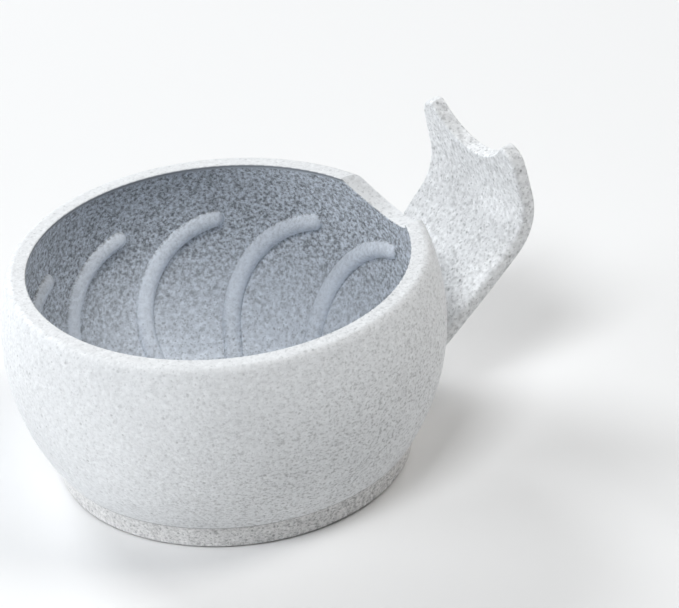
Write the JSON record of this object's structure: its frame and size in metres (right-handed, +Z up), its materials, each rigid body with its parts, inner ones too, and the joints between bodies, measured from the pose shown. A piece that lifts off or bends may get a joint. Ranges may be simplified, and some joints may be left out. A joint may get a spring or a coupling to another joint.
{
  "type": "shaving bowl",
  "caption": "Round shaving bowl with a ribbed basin, a plain foot and a wide bent handle; the rim and the handle's lip have saddles that hold a resting brush.",
  "frame": {"origin": "centre of the underside, on the surface the bowl stands on", "axes": "+Z up along the bowl's axis, +X from the bowl towards its handle, +Y completes a right-handed frame"},
  "size_m": [0.1465, 0.12, 0.074],
  "materials": {
    "shell_plastic": "matte, pale stone grey with fine grey and near-black specks and short fibres",
    "basin_plastic": "matte, pale stone grey with fine grey and near-black specks and short fibres",
    "foot_plastic": "matte, pale stone grey with fine grey and near-black specks and short fibres",
    "handle_plastic": "matte, pale stone grey with fine grey and near-black specks and short fibres",
    "pad_rubber": "matte soft rubber, mid grey"
  },
  "bodies": {
    "root": {"outer_shell": "shell_plastic", "ribbed_basin": "basin_plastic", "foot_base": "foot_plastic", "brush_handle": "handle_plastic", "grip_pad": "pad_rubber"}
  },
  "joints": []
}
